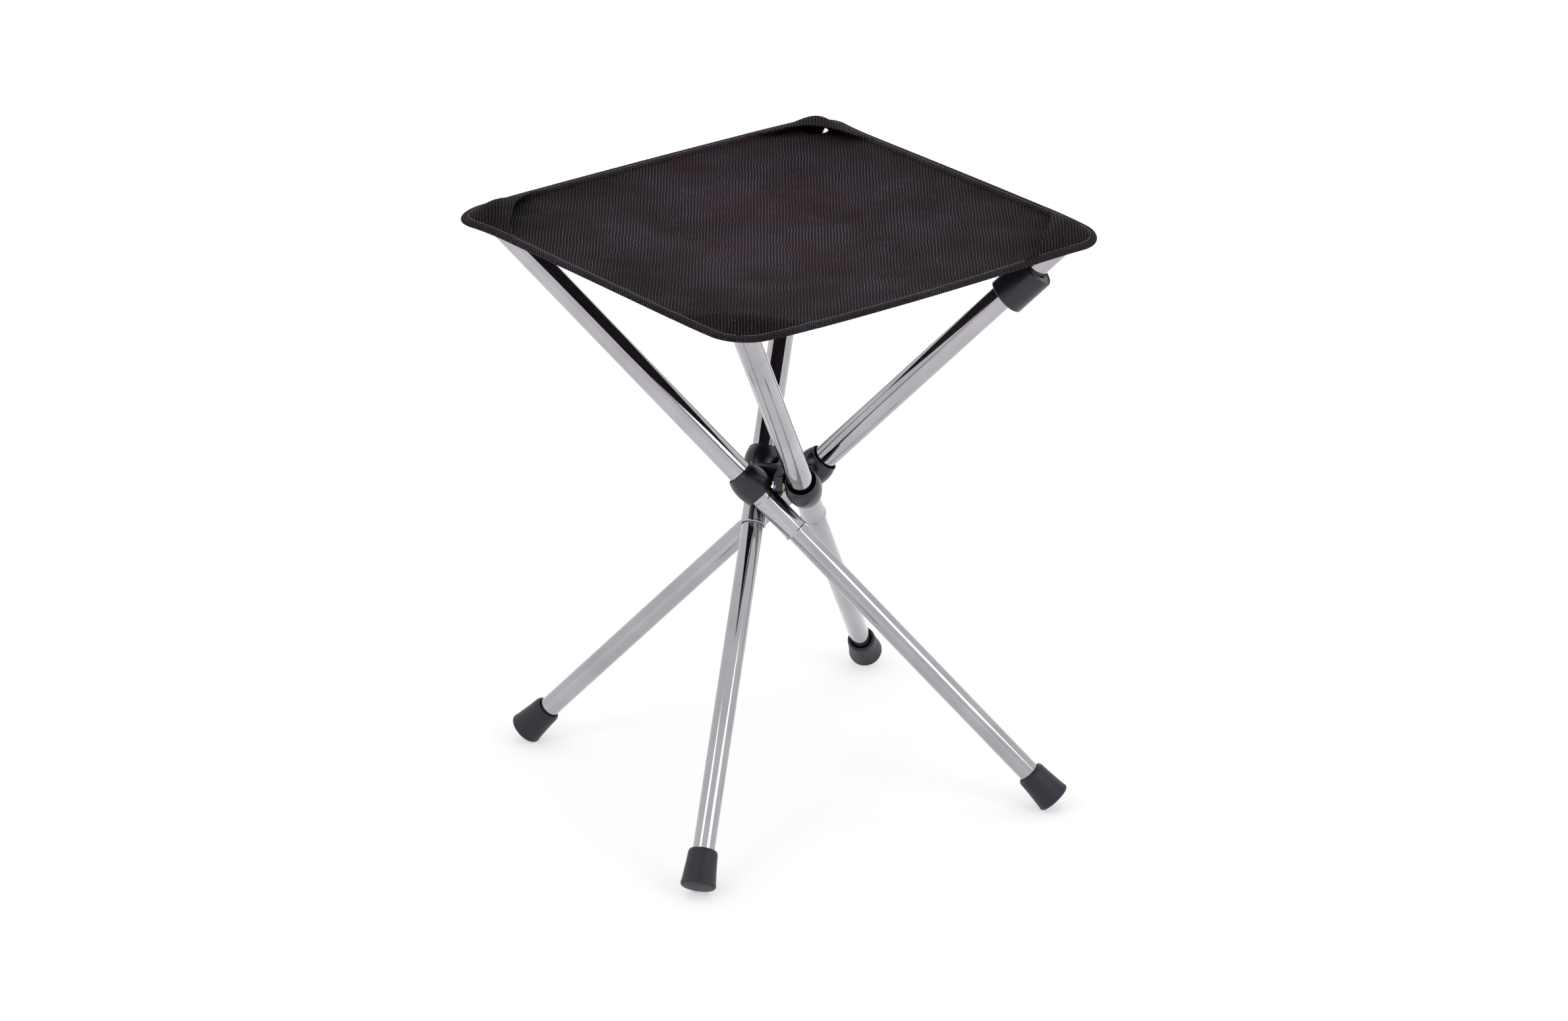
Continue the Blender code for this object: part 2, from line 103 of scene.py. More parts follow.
def spanOf(tree, value, low, high, fromLow=0.0, fromHigh=1.0):
    span = tree.nodes.new("ShaderNodeMapRange")
    span.inputs["From Min"].default_value = fromLow
    span.inputs["From Max"].default_value = fromHigh
    span.inputs["To Min"].default_value = low
    span.inputs["To Max"].default_value = high
    tree.links.new(value, span.inputs["Value"])
    return span.outputs["Result"]


def mathOf(tree, operation, first, second):
    node = tree.nodes.new("ShaderNodeMath")
    node.operation = operation
    for socket, value in zip(node.inputs, (first, second)):
        if isinstance(value, (int, float)):
            socket.default_value = value
        else:
            tree.links.new(value, socket)
    return node.outputs["Value"]


def colourMix(tree, fac, first, second):
    mix = tree.nodes.new("ShaderNodeMix")
    mix.data_type = "RGBA"
    mix.inputs["A"].default_value = (*first, 1.0)
    mix.inputs["B"].default_value = (*second, 1.0)
    tree.links.new(fac, mix.inputs["Factor"])
    return mix.outputs["Result"]


def bumpFrom(tree, height, shader, distance, strength=1.0):
    bump = tree.nodes.new("ShaderNodeBump")
    bump.inputs["Distance"].default_value = distance
    bump.inputs["Strength"].default_value = strength
    tree.links.new(height, bump.inputs["Height"])
    tree.links.new(bump.outputs["Normal"], shader.inputs["Normal"])


# materials

steelLook = {"light": (0.54, 0.52, 0.54), "dark": (0.31, 0.305, 0.335), "rough": (0.045, 0.09),
             "streaks": (2600.0, 9.0, 1.0), "cloud": 22.0, "bump": 0.000006}


def makeSteel(name, look):
    mat, tree, shader = newMaterial(name)
    streaks = noiseOf(tree, uvCoords(tree, look["streaks"]), 1.0, 4.0, 0.6)
    cloud = noiseOf(tree, objectCoords(tree), look["cloud"], 3.0)
    tree.links.new(colourMix(tree, cloud, look["dark"], look["light"]), shader.inputs["Base Color"])
    shader.inputs["Metallic"].default_value = 1.0
    rough = spanOf(tree, mathOf(tree, "ADD", streaks, cloud), look["rough"][0], look["rough"][1], 0.7, 1.3)
    tree.links.new(rough, shader.inputs["Roughness"])
    bumpFrom(tree, streaks, shader, look["bump"], 0.5)
    return mat


plasticLook = {"dark": (0.0060, 0.0063, 0.0085), "light": (0.0120, 0.0125, 0.0175), "rough": (0.24, 0.33),
               "gloss": 0.50, "tint": (0.86, 0.88, 1.0, 1.0), "cloud": 60.0, "grain": 1500.0, "bump": 0.00002}


def makePlastic(name, look):
    mat, tree, shader = newMaterial(name)
    coords = objectCoords(tree)
    cloud = noiseOf(tree, coords, look["cloud"], 4.0)
    fine = noiseOf(tree, coords, look["grain"], 2.0)
    tree.links.new(colourMix(tree, cloud, look["dark"], look["light"]), shader.inputs["Base Color"])
    tree.links.new(spanOf(tree, cloud, look["rough"][0], look["rough"][1], 0.3, 0.7),
                   shader.inputs["Roughness"])
    shader.inputs["Specular IOR Level"].default_value = look["gloss"]
    shader.inputs["Specular Tint"].default_value = look["tint"]
    bumpFrom(tree, fine, shader, look["bump"], 0.6)
    return mat


# painted shade in the cloth's colour, darker out from the middle and darker towards one hem: each from, to,
# share of the colour left
clothLook = {"dark": (0.0045, 0.0034, 0.0040), "warm": (0.0470, 0.0245, 0.0315),
             "cool": (0.0330, 0.0250, 0.0400), "light": (0.360, 0.300, 0.350),
             "fade": (0.06, 0.21, 0.26), "paintedHemShade": (0.095, 0.150, 0.15), "hemTurn": 49.93,
             "ribGap": 0.00240, "ribTurn": -12.4, "paintedRibShade": 0.45, "ribHeight": 0.8, "ribWander": 0.0026,
             "pick": 0.00110, "pickShift": 0.37, "paintedHighlightShare": 0.80,
             "cloud": 9.0, "patches": 24.0, "warp": 60.0, "grain": 1100.0,
             "gloss": 0.05, "sheen": 0.012, "sheenTint": (0.85, 0.72, 0.74, 1.0), "bump": 0.00042}


def waveOf(tree, value, gap, shift=0.0):
    # 0 to 1 and back, once for each gap
    turns = mathOf(tree, "ADD", mathOf(tree, "DIVIDE", value, gap), shift)
    wave = mathOf(tree, "COSINE", mathOf(tree, "MULTIPLY", turns, 2 * math.pi), 0.0)
    return spanOf(tree, wave, 0.0, 1.0, -1.0, 1.0), turns


def makeCloth(name, look):
    mat, tree, shader = newMaterial(name)
    flat = objectCoords(tree, (1, 1, 1), (0, 0, math.radians(look["ribTurn"])))
    cloud = noiseOf(tree, flat, look["cloud"], 3.0, 0.55)
    patches = noiseOf(tree, flat, look["patches"], 4.0, 0.6)
    warp = noiseOf(tree, flat, look["warp"], 2.0, 0.5)
    grain = noiseOf(tree, flat, look["grain"], 2.0, 0.7)
    parts = tree.nodes.new("ShaderNodeSeparateXYZ")
    tree.links.new(flat, parts.inputs["Vector"])
    acrossRibs = mathOf(tree, "ADD", parts.outputs["X"], mathOf(tree, "MULTIPLY", warp, look["ribWander"]))
    rib, ribNumber = waveOf(tree, acrossRibs, look["ribGap"])
    step = mathOf(tree, "MULTIPLY", mathOf(tree, "FLOOR", ribNumber, 0.0), look["pickShift"])
    pick = waveOf(tree, parts.outputs["Y"], look["pick"], step)[0]
    dots = mathOf(tree, "MULTIPLY", spanOf(tree, rib, 0.0, 1.0, 0.42, 0.90),
                  spanOf(tree, pick, 0.0, 1.0, 0.20, 0.85))
    # painted highlights: the weave's dots are lightened towards the light colour, as lit rib tops
    paintedHighlights = mathOf(tree, "MULTIPLY", dots, spanOf(tree, grain, 0.12, 1.0, 0.36, 0.62))
    paintedHighlights = mathOf(tree, "MULTIPLY", paintedHighlights, spanOf(tree, patches, 0.22, look["paintedHighlightShare"], 0.36, 0.66))
    # painted shade: the colour and its painted highlights darken out from the middle of the seat
    away = tree.nodes.new("ShaderNodeVectorMath")
    away.operation = "LENGTH"
    tree.links.new(objectCoords(tree, (1, 1, 0)), away.inputs[0])
    paintedShade = spanOf(tree, away.outputs["Value"], 1.0, look["fade"][2], look["fade"][0], look["fade"][1])
    paintedHighlights = mathOf(tree, "MULTIPLY", paintedHighlights, spanOf(tree, paintedShade, 0.62, 1.0, 0.3, 1.0))
    # painted shade: darker again towards one hem
    toHem = tree.nodes.new("ShaderNodeVectorMath")
    toHem.operation = "DOT_PRODUCT"
    hemTurn = math.radians(look["hemTurn"])
    toHem.inputs[1].default_value = (-math.cos(hemTurn), -math.sin(hemTurn), 0.0)
    tree.links.new(objectCoords(tree), toHem.inputs[0])
    hemLine = mathOf(tree, "ADD", toHem.outputs["Value"], mathOf(tree, "MULTIPLY", cloud, 0.02))
    nearHem, atHem, hemLeft = look["paintedHemShade"]
    paintedShade = mathOf(tree, "MULTIPLY", paintedShade, spanOf(tree, hemLine, 1.0, hemLeft, nearHem, atHem))
    # random tone times the painted shade
    toneAndPaintedShade = mathOf(tree, "MULTIPLY", spanOf(tree, cloud, 0.35, 1.0, 0.36, 0.60), paintedShade)
    # painted shade: the colour is darker between the ribs, in their grooves
    toneAndPaintedShade = mathOf(tree, "MULTIPLY", toneAndPaintedShade, spanOf(tree, rib, look["paintedRibShade"], 1.0))
    hue = tree.nodes.new("ShaderNodeMix")
    hue.data_type = "RGBA"
    tree.links.new(toneAndPaintedShade, hue.inputs["Factor"])
    hue.inputs["A"].default_value = (*look["dark"], 1.0)
    tree.links.new(colourMix(tree, spanOf(tree, patches, 0.0, 1.0, 0.42, 0.58), look["warm"], look["cool"]),
                   hue.inputs["B"])
    # the light colour here is the painted highlight on the dots
    base = tree.nodes.new("ShaderNodeMix")
    base.data_type = "RGBA"
    tree.links.new(paintedHighlights, base.inputs["Factor"])
    tree.links.new(hue.outputs["Result"], base.inputs["A"])
    base.inputs["B"].default_value = (*look["light"], 1.0)
    tree.links.new(base.outputs["Result"], shader.inputs["Base Color"])
    tree.links.new(spanOf(tree, dots, 0.80, 0.55), shader.inputs["Roughness"])
    shader.inputs["Specular IOR Level"].default_value = look["gloss"]
    shader.inputs["Sheen Weight"].default_value = look["sheen"]
    shader.inputs["Sheen Roughness"].default_value = 0.45
    shader.inputs["Sheen Tint"].default_value = look["sheenTint"]
    fine = mathOf(tree, "ADD", mathOf(tree, "MULTIPLY", dots, 0.5), mathOf(tree, "MULTIPLY", grain, 0.7))
    height = mathOf(tree, "ADD", mathOf(tree, "MULTIPLY", rib, look["ribHeight"]), fine)
    bumpFrom(tree, height, shader, look["bump"])
    return mat


steel = makeSteel("polishedTube", steelLook)
steelInner = makeSteel("innerTube", dict(steelLook, light=(0.50, 0.485, 0.50), rough=(0.05, 0.10)))
collarBlack = makePlastic("satinCollar", dict(plasticLook, gloss=0.60))
footBlack = makePlastic("footRubber", dict(plasticLook, dark=(0.006, 0.007, 0.010),
                                           light=(0.017, 0.019, 0.026), rough=(0.42, 0.58),
                                           grain=900.0, bump=0.00004))
plugGrey = makePlastic("plugNylon", dict(plasticLook, dark=(0.03, 0.03, 0.032), light=(0.06, 0.06, 0.062),
                                         rough=(0.45, 0.6)))
brass = makeSteel("washerBrass", dict(steelLook, light=(0.80, 0.60, 0.28), dark=(0.62, 0.44, 0.18),
                                      rough=(0.15, 0.3)))
bushSteel = makeSteel("bushSteel", dict(steelLook, light=(0.50, 0.50, 0.52), dark=(0.40, 0.40, 0.42),
                                        rough=(0.2, 0.35)))
cloth = makeCloth("ribbedCloth", clothLook)
# the tape keeps the cloth's painted shade and painted highlights, set weaker
tape = makeCloth("edgeTape", dict(clothLook, ribGap=0.0015, pick=0.0011, warm=(0.026, 0.016, 0.020),
                                  cool=(0.021, 0.018, 0.027), paintedHighlightShare=0.70, fade=(0.06, 0.21, 0.80),
                                  paintedHemShade=(0.118, 0.150, 0.90), paintedRibShade=0.8, ribHeight=0.32))
thread = makePlastic("seamThread", dict(plasticLook, dark=(0.10, 0.095, 0.105), light=(0.24, 0.225, 0.25),
                                        rough=(0.45, 0.6), grain=2500.0, bump=0.00005))
print("materials made")


# meshes

mergeGap = 0.0000005


def makePiece(name, verts, faces, mat, sharpAngle=math.radians(35)):
    mesh = bpy.data.meshes.new(name)
    mesh.from_pydata(verts, [], faces)
    mesh.materials.append(mat)
    obj = bpy.data.objects.new(name, mesh)
    bpy.context.scene.collection.objects.link(obj)
    for face in mesh.polygons:
        face.use_smooth = True
    mesh.set_sharp_from_angle(angle=sharpAngle)
    return obj


def softenProfile(points, radius, steps=3, closed=True):
    out = []
    count = len(points)
    for i, point in enumerate(points):
        r = point[2] if len(point) > 2 else radius
        if (not closed and i in (0, count - 1)) or r <= 0:
            out.append((point[0], point[1]))
            continue
        before, after = points[i - 1], points[(i + 1) % count]
        here = Vector(point[:2])
        toBefore, toAfter = Vector(before[:2]) - here, Vector(after[:2]) - here
        cut = min(r, toBefore.length * 0.45, toAfter.length * 0.45)
        a, b = here + toBefore.normalized() * cut, here + toAfter.normalized() * cut
        for s in range(steps + 1):
            t = s / steps
            spot = a * (1 - t) ** 2 + here * 2 * t * (1 - t) + b * t * t
            out.append((spot.x, spot.y))
    return out


def turnPiece(name, profile, place, mat, segments=72, closed=True):
    # profile of (radius, height); a closed one is a ring, an open one meets the axis at both ends
    verts, faces, uvs = [], [], []
    count = len(profile)
    length = [0.0]
    for a, b in zip(profile, profile[1:]):
        length.append(length[-1] + math.dist(a, b))
    for s in range(segments):
        angle = 2 * math.pi * s / segments
        for r, z in profile:
            r = max(r, 0.0)
            verts.append(place @ Vector((r * math.cos(angle), r * math.sin(angle), z)))
    spans = count if closed else count - 1
    for s in range(segments):
        nextS = (s + 1) % segments
        for n in range(spans):
            m = (n + 1) % count
            quad = [s * count + n, s * count + m, nextS * count + m, nextS * count + n]
            faces.append(quad)
            topLen = length[m] if m else length[-1] + math.dist(profile[-1], profile[0])
            uvs.append([(s / segments, length[n]), (s / segments, topLen),
                        ((s + 1) / segments, topLen), ((s + 1) / segments, length[n])])
    obj = makePiece(name, verts, faces, mat)
    layer = obj.data.uv_layers.new(name="around")
    for face, corners in zip(obj.data.polygons, uvs):
        for loop, uv in zip(face.loop_indices, corners):
            layer.data[loop].uv = uv
    if not closed:
        bm = bmesh.new()
        bm.from_mesh(obj.data)
        bmesh.ops.remove_doubles(bm, verts=bm.verts, dist=mergeGap)
        bm.to_mesh(obj.data)
        bm.free()
    return obj


def pointOutwards(obj):
    bm = bmesh.new()
    bm.from_mesh(obj.data)
    bmesh.ops.remove_doubles(bm, verts=bm.verts, dist=mergeGap)
    bmesh.ops.recalc_face_normals(bm, faces=bm.faces)
    bm.to_mesh(obj.data)
    bm.free()


def finishPiece(obj, body, nodes):
    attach(obj, body)
    if nodes:
        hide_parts(*nodes)


# tubes, collars and feet

tube = {"outer": 0.0095, "wall": 0.0008, "mouth": -0.0514, "mouthRadius": 0.01005, "top": 0.28605,
        "groove": -0.0156, "grooveRadius": 0.00912, "lowerOuter": 0.00825, "lowerTop": 0.01005}
foot = {"top": -0.3126, "length": 0.0285, "radius": 0.0135, "bore": 0.00855, "tubeDeep": 0.0240}
collar = {"half": 0.0115, "radius": 0.01415, "bore": 0.0098}

footEnd = foot["top"] - foot["length"]
innerR = tube["outer"] - tube["wall"]
lowerInnerR = tube["lowerOuter"] - tube["wall"]
lowerEnd = foot["top"] - foot["tubeDeep"]

upperProfile = softenProfile([
    (tube["outer"], tube["top"]), (tube["outer"], tube["groove"] + 0.0010, 0.0006),
    (tube["grooveRadius"], tube["groove"], 0.0003), (tube["outer"], tube["groove"] - 0.0010, 0.0006),
    (tube["outer"], tube["mouth"] + 0.0019, 0.0002), (0.01002, tube["mouth"] + 0.0015, 0.0004),
    (tube["mouthRadius"], tube["mouth"] + 0.0003, 0.0005), (0.0094, tube["mouth"], 0.0002),
    (0.0087, tube["mouth"] + 0.0002, 0.0002), (innerR, tube["mouth"] + 0.002), (innerR, tube["top"])], 0.0002)
lowerProfile = softenProfile([
    (tube["lowerOuter"], tube["lowerTop"]), (tube["lowerOuter"], lowerEnd),
    (lowerInnerR, lowerEnd), (lowerInnerR, tube["lowerTop"])], 0.0002)
collarProfile = softenProfile([
    (0.01150, collar["half"], 0.0002), (0.01188, 0.0113, 0.0003), (0.01190, 0.0103, 0.0003),
    (0.01225, 0.0098, 0.0006), (0.01320, 0.0072, 0.002), (0.01385, 0.0042, 0.002),
    (collar["radius"], 0.0010, 0.002), (0.01410, -0.0022, 0.002),
    (0.01385, -0.0052, 0.002), (0.01335, -0.0080, 0.002), (0.01285, -0.0099, 0.0006),
    (0.01268, -0.0103, 0.0002), (0.01268, -0.0112, 0.0003), (0.01235, -collar["half"], 0.0003),
    (0.01020, -collar["half"], 0.0004), (collar["bore"], -0.0106, 0.0003), (collar["bore"], 0.0078, 0.0004),
    (0.01095, 0.0086, 0.0006), (0.01118, collar["half"], 0.0002)], 0.0003)
footProfile = softenProfile([
    (foot["bore"], foot["top"] - 0.0010, 0.0003), (0.00870, foot["top"], 0.0003),
    (0.01050, foot["top"], 0.0012), (0.01125, foot["top"] - 0.0020, 0.0016),
    (0.01180, foot["top"] - 0.0110, 0.006),
    (0.01315, footEnd + 0.0036, 0.001), (0.01335, footEnd + 0.0030, 0.0003),
    (foot["radius"], footEnd + 0.0026, 0.0003), (foot["radius"], footEnd + 0.0012, 0.0008),
    (0.01270, footEnd + 0.00005, 0.0008), (0.0085, footEnd - 0.0007, 0.003),
    (0.0, footEnd - 0.0010, 0.0)], 0.0005, closed=False)
footInside = [(0.0, foot["top"] - 0.0245), (foot["bore"], foot["top"] - 0.0245)]

for name in legNames:
    place = legFrames[name]
    finishPiece(turnPiece("upperTube" + name.title(), upperProfile, place, steel, 96),
                "leg_" + name, ["upper_tube_" + name])
    finishPiece(turnPiece("lowerTube" + name.title(), lowerProfile, place, steelInner, 96),
                "lower_" + name, ["lower_tube_" + name])
    finishPiece(turnPiece("collar" + name.title(), collarProfile, place, collarBlack, 96),
                "leg_" + name, ["collar_" + name])
    shoe = turnPiece("foot" + name.title(), footInside + footProfile, place, footBlack, 80, closed=False)
    for vert in shoe.data.vertices:              # the foot is flat where it stands
        if vert.co.z < 0.0:
            vert.co.z = 0.0
    finishPiece(shoe, "lower_" + name, ["foot_" + name])
print("tubes, collars and feet made")

# pins and core of the hub, and the nodes kept as they are

pin = {"radius": 0.0025, "head": 0.00325, "inner": -0.0102, "face": -0.0227}
headIn, headOut = pin["face"] + 0.0003, pin["face"] + 0.0018
pinProfile = softenProfile([(0.0, pin["inner"]), (pin["radius"], pin["inner"], 0.0003),
                            (pin["radius"], headOut), (pin["head"], headOut, 0.0002),
                            (pin["head"], headIn + 0.0005, 0.0006),
                            (0.0026, headIn, 0.0006), (0.0, headIn)], 0.0002, closed=False)
for name in legNames:
    finishPiece(turnPiece("pivotPin" + name.title(), pinProfile, pinFrames[name], steel, 40, closed=False),
                "hub", ["pivot_pin_" + name])

core = {"armSide": (-0.0022, 0.00535), "armEnd": 0.0235, "low": -0.0040, "high": 0.0085, "soft": 0.0009}


def makeCore():
    # a pinwheel of four arms that fills the middle between the collars
    left, right = core["armSide"]
    plan = []
    for k in range(4):
        spin = Matrix.Rotation(k * math.pi / 2, 2)
        for spot in ((left, -right), (left, -core["armEnd"]), (right, -core["armEnd"])):
            plan.append(tuple(spin @ Vector(spot)))
    plan = softenProfile(plan, 0.0008, 4)
    count = len(plan)
    normals = []
    for i in range(count):
        along = Vector(plan[(i + 1) % count]) - Vector(plan[i - 1])
        normals.append(Vector((along.y, -along.x)).normalized())
    levels = []
    for step in range(5):
        t = math.pi / 2 * step / 4
        levels.append((core["low"] + core["soft"] * (1 - math.sin(t)), core["soft"] * (1 - math.cos(t))))
    levels = levels[::-1] + [(core["high"] - z + core["low"], grow) for z, grow in levels]
    verts, faces = [], []
    for z, grow in levels:
        verts += [(x - n.x * grow, y - n.y * grow, hub["height"] + z) for (x, y), n in zip(plan, normals)]
    for row in range(len(levels) - 1):
        for n in range(count):
            m = (n + 1) % count
            faces.append([row * count + n, row * count + m, (row + 1) * count + m, (row + 1) * count + n])
    last = (len(levels) - 1) * count
    faces += [list(range(count)), [last + n for n in range(count)]]
    obj = makePiece("hubCore", verts, faces, collarBlack)
    pointOutwards(obj)
    return obj


finishPiece(makeCore(), "hub", ["hub_core"])
for nodeName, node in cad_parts.items():
    if nodeName.startswith("pivot_washer"):
        keep = brass
    elif nodeName.startswith(("top_plug", "slide_plug")):
        keep = plugGrey
    elif nodeName.startswith("friction_bush"):
        keep = bushSteel
    else:
        continue
    for index in range(len(node.material_slots)):
        node.material_slots[index].material = keep
print("hub made")


# storage clip: a thick-backed open C with ribbed ends

clip = {"height": 0.22805, "half": 0.0165, "inner": 0.0098, "side": 0.0036, "swell": 0.0048,
        "mouth": 128.0, "turn": -130.0, "soft": 0.0011, "grooves": (0.0015, 0.0022, 0.0029),
        "grooveDeep": 0.00028, "arcSteps": 40, "lipSteps": 6}


def clipSection(grow):
    # outer arc, rounded lip, inner arc, rounded lip; grow pulls the outline inwards
    points = []
    lip = math.radians(clip["mouth"])
    inner = clip["inner"] + grow * 0.5
    arcSteps, lipSteps = clip["arcSteps"], clip["lipSteps"]

    def outerRadius(angle):
        swell = clip["swell"] * max(0.0, math.cos(angle)) ** 1.5
        full = clip["side"] + swell
        return clip["inner"] + full - grow * (0.5 + 0.5 * min(1.0, swell / 0.002))

    for step in range(arcSteps + 1):
        angle = lip - step * 2 * lip / arcSteps
        radius = outerRadius(angle)
        points.append((radius * math.cos(angle), radius * math.sin(angle)))
    for side in (-1, 1):
        middle = (outerRadius(lip) + inner) / 2
        half = (outerRadius(lip) - inner) / 2
        centre = Vector((math.cos(side * lip), math.sin(side * lip))) * middle
        outward = centre.normalized()
        along = Vector((-outward.y, outward.x)) * side
        for step in range(1, lipSteps):
            t = math.pi * step / lipSteps if side < 0 else math.pi - math.pi * step / lipSteps
            spot = centre + outward * half * math.cos(t) + along * half * math.sin(t)
            points.append(tuple(spot))
        if side < 0:
            for step in range(arcSteps + 1):
                angle = -lip + step * 2 * lip / arcSteps
                points.append((inner * math.cos(angle), inner * math.sin(angle)))
    return points


def makeClip():
    half, soft = clip["half"], clip["soft"]
    levels = [(-half + 0.0002, 0.0034)]
    for start in reversed(clip["grooves"]):
        levels += [(-half + 0.0001, start + 0.0002), (-half + clip["grooveDeep"], start + 0.00005),
                   (-half + clip["grooveDeep"], start - 0.00015), (-half, start - 0.0003)]
    for step in range(7):
        t = math.pi / 2 * step / 6
        levels.append((-half + soft * (1 - math.cos(t)), soft * (1 - math.sin(t))))
    levels += [(-z, grow) for z, grow in reversed(levels)]
    verts, faces = [], []
    place = legFrames["right"] @ Matrix.Translation((0, 0, clip["height"])) @ Matrix.Rotation(
        math.radians(clip["turn"]), 4, "Z")
    for z, grow in levels:
        section = clipSection(grow)
        for x, y in section:
            verts.append(place @ Vector((x, y, z)))
    count = len(section)
    for row in range(len(levels) - 1):
        for n in range(count):
            m = (n + 1) % count
            faces.append([row * count + n, (row + 1) * count + n, (row + 1) * count + m, row * count + m])
    last = (len(levels) - 1) * count
    arcSteps = clip["arcSteps"]                  # both ends are closed between the two arcs and at the lips
    innerFrom = arcSteps + clip["lipSteps"]
    innerTo = innerFrom + arcSteps
    for n in range(arcSteps):
        ring = [n, n + 1, innerTo - n - 1, innerTo - n]
        faces.append(ring)
        faces.append([last + m for m in reversed(ring)])
    for lips in (list(range(arcSteps, innerFrom + 1)), list(range(innerTo, count)) + [0]):
        faces.append(lips)
        faces.append([last + n for n in reversed(lips)])
    obj = makePiece("storageClip", verts, faces, collarBlack)
    pointOutwards(obj)
    return obj


finishPiece(makeClip(), "clip", ["storage_clip"])
print("clip made")


# seat: a taut square panel with a hole for each tube under the hoods, and folded tape along its sides

seatX = Vector((math.cos(math.pi / 4 + seat["turn"]), math.sin(math.pi / 4 + seat["turn"]), 0.0))
seatY = Vector((-seatX.y, seatX.x, 0.0))
quarter = [Matrix.Rotation(k * math.pi / 2, 3, "Z") for k in range(4)]
outwards = [turn @ -(seatX + seatY).normalized() for turn in quarter]
foldLine = seat["half"] / math.sqrt(2)

# from each tip a ridge runs inwards, with a fan of fine folds; soft unevenness all over
crease = {"ridge": 0.0024, "fan": 0.00055, "soft": 0.0008, "hemBand": 0.12, "longFrom": 0.035, "long": 0.075,
          "tipGap": 0.006, "tipRamp": 0.030, "side": 0.004, "narrow": 0.012, "widen": 0.10,
          "fanTurns": 11.0, "fanShift": 1.3, "softScale": 14, "softDraw": 3.7}


def seatHeight(spot, folds=1.0):
    a = min(1.0, abs(spot.dot(seatX)) / seat["half"])
    b = min(1.0, abs(spot.dot(seatY)) / seat["half"])
    f, g = 1 - a * a, 1 - b * b
    height = seat["height"] - seat["sagEdge"] * (f + g) - seat["sagMiddle"] * f * g
    u, v = spot.dot(seatX) / seat["half"], spot.dot(seatY) / seat["half"]
    for reach, level, lift in zip((u, v, -u, -v), (g, f, g, f), seat["hemLift"]):
        height += lift * max(0.0, reach) ** 2 * level
    hemFade = min(1.0, (1 - max(a, b)) / crease["hemBand"])
    hemFade = hemFade * hemFade * (3 - 2 * hemFade)
    for k in range(4):
        reach = spot.dot(outwards[k])
        side = spot.dot(Vector((-outwards[k].y, outwards[k].x, 0.0)))
        deep = seat["tip"] - reach
        tipFade = min(1.0, max(0.0, deep - crease["tipGap"]) / crease["tipRamp"])
        fade = math.exp(-max(0.0, deep - crease["longFrom"]) / crease["long"]) * hemFade * tipFade
        wide = crease["narrow"] + crease["widen"] * deep
        height += folds * crease["ridge"] * fade * math.exp(-((side - crease["side"]) / wide) ** 2)
        fan = side / max(deep + 0.02, 0.03)
        height += folds * crease["fan"] * fade * math.cos(crease["fanTurns"] * fan + crease["fanShift"] * k)
    scale = crease["softScale"]
    soft = noise.noise(Vector((spot.x * scale, spot.y * scale, crease["softDraw"])))
    height += folds * crease["soft"] * soft * min(1.0, 3 * f * g)
    return height


def seatPoint(x, y, rise=0.0, k=0):
    spot = quarter[k] @ (seatX * x + seatY * y)
    return Vector((spot.x, spot.y, seatHeight(spot) + rise))


def foldWith(obj):
    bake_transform(obj)


def trimTo(bm, lost, moved):
    # drop faces that lie wholly in the lost zone and pull the other corners in it to its edge
    gone = [face for face in bm.faces if all(lost(vert.co) for vert in face.verts)]
    bmesh.ops.delete(bm, geom=gone, context="FACES")
    for vert in bm.verts:
        if lost(vert.co):
            vert.co = moved(vert.co)


def trimCorner(bm, k):
    outward = outwards[k]
    across = Vector((-outward.y, outward.x, 0.0))
    centre = outward * (seat["tip"] - seat["round"])
    reach = seat["round"] - seat["edgeIn"]
    holeAt, holeDeep, holeWide = seat["hole"]

    def turned(spot):
        off = Vector((spot.x, spot.y, 0.0)) - centre
        return off.dot(outward), off.dot(across)

    def beyond(spot):
        ahead, side = turned(spot)
        return ahead > abs(side) and math.hypot(ahead, side) > reach + 0.00001

    def ontoArc(spot):
        ahead, side = turned(spot)
        scale = reach / math.hypot(ahead, side)
        flat = centre + (outward * ahead + across * side) * scale
        return Vector((flat.x, flat.y, seatHeight(flat)))

    def holeShare(spot):
        flat = Vector((spot.x, spot.y, 0.0))
        return (flat.dot(outward) - holeAt) / holeDeep, flat.dot(across) / holeWide

    def inHole(spot):
        return math.hypot(*holeShare(spot)) < 0.9999

    def ontoHole(spot):
        u, v = holeShare(spot)
        scale = 1 / max(0.05, math.hypot(u, v))
        flat = outward * (holeAt + u * scale * holeDeep) + across * (v * scale * holeWide)
        return Vector((flat.x, flat.y, seatHeight(flat)))

    trimTo(bm, beyond, ontoArc)
    trimTo(bm, inHole, ontoHole)


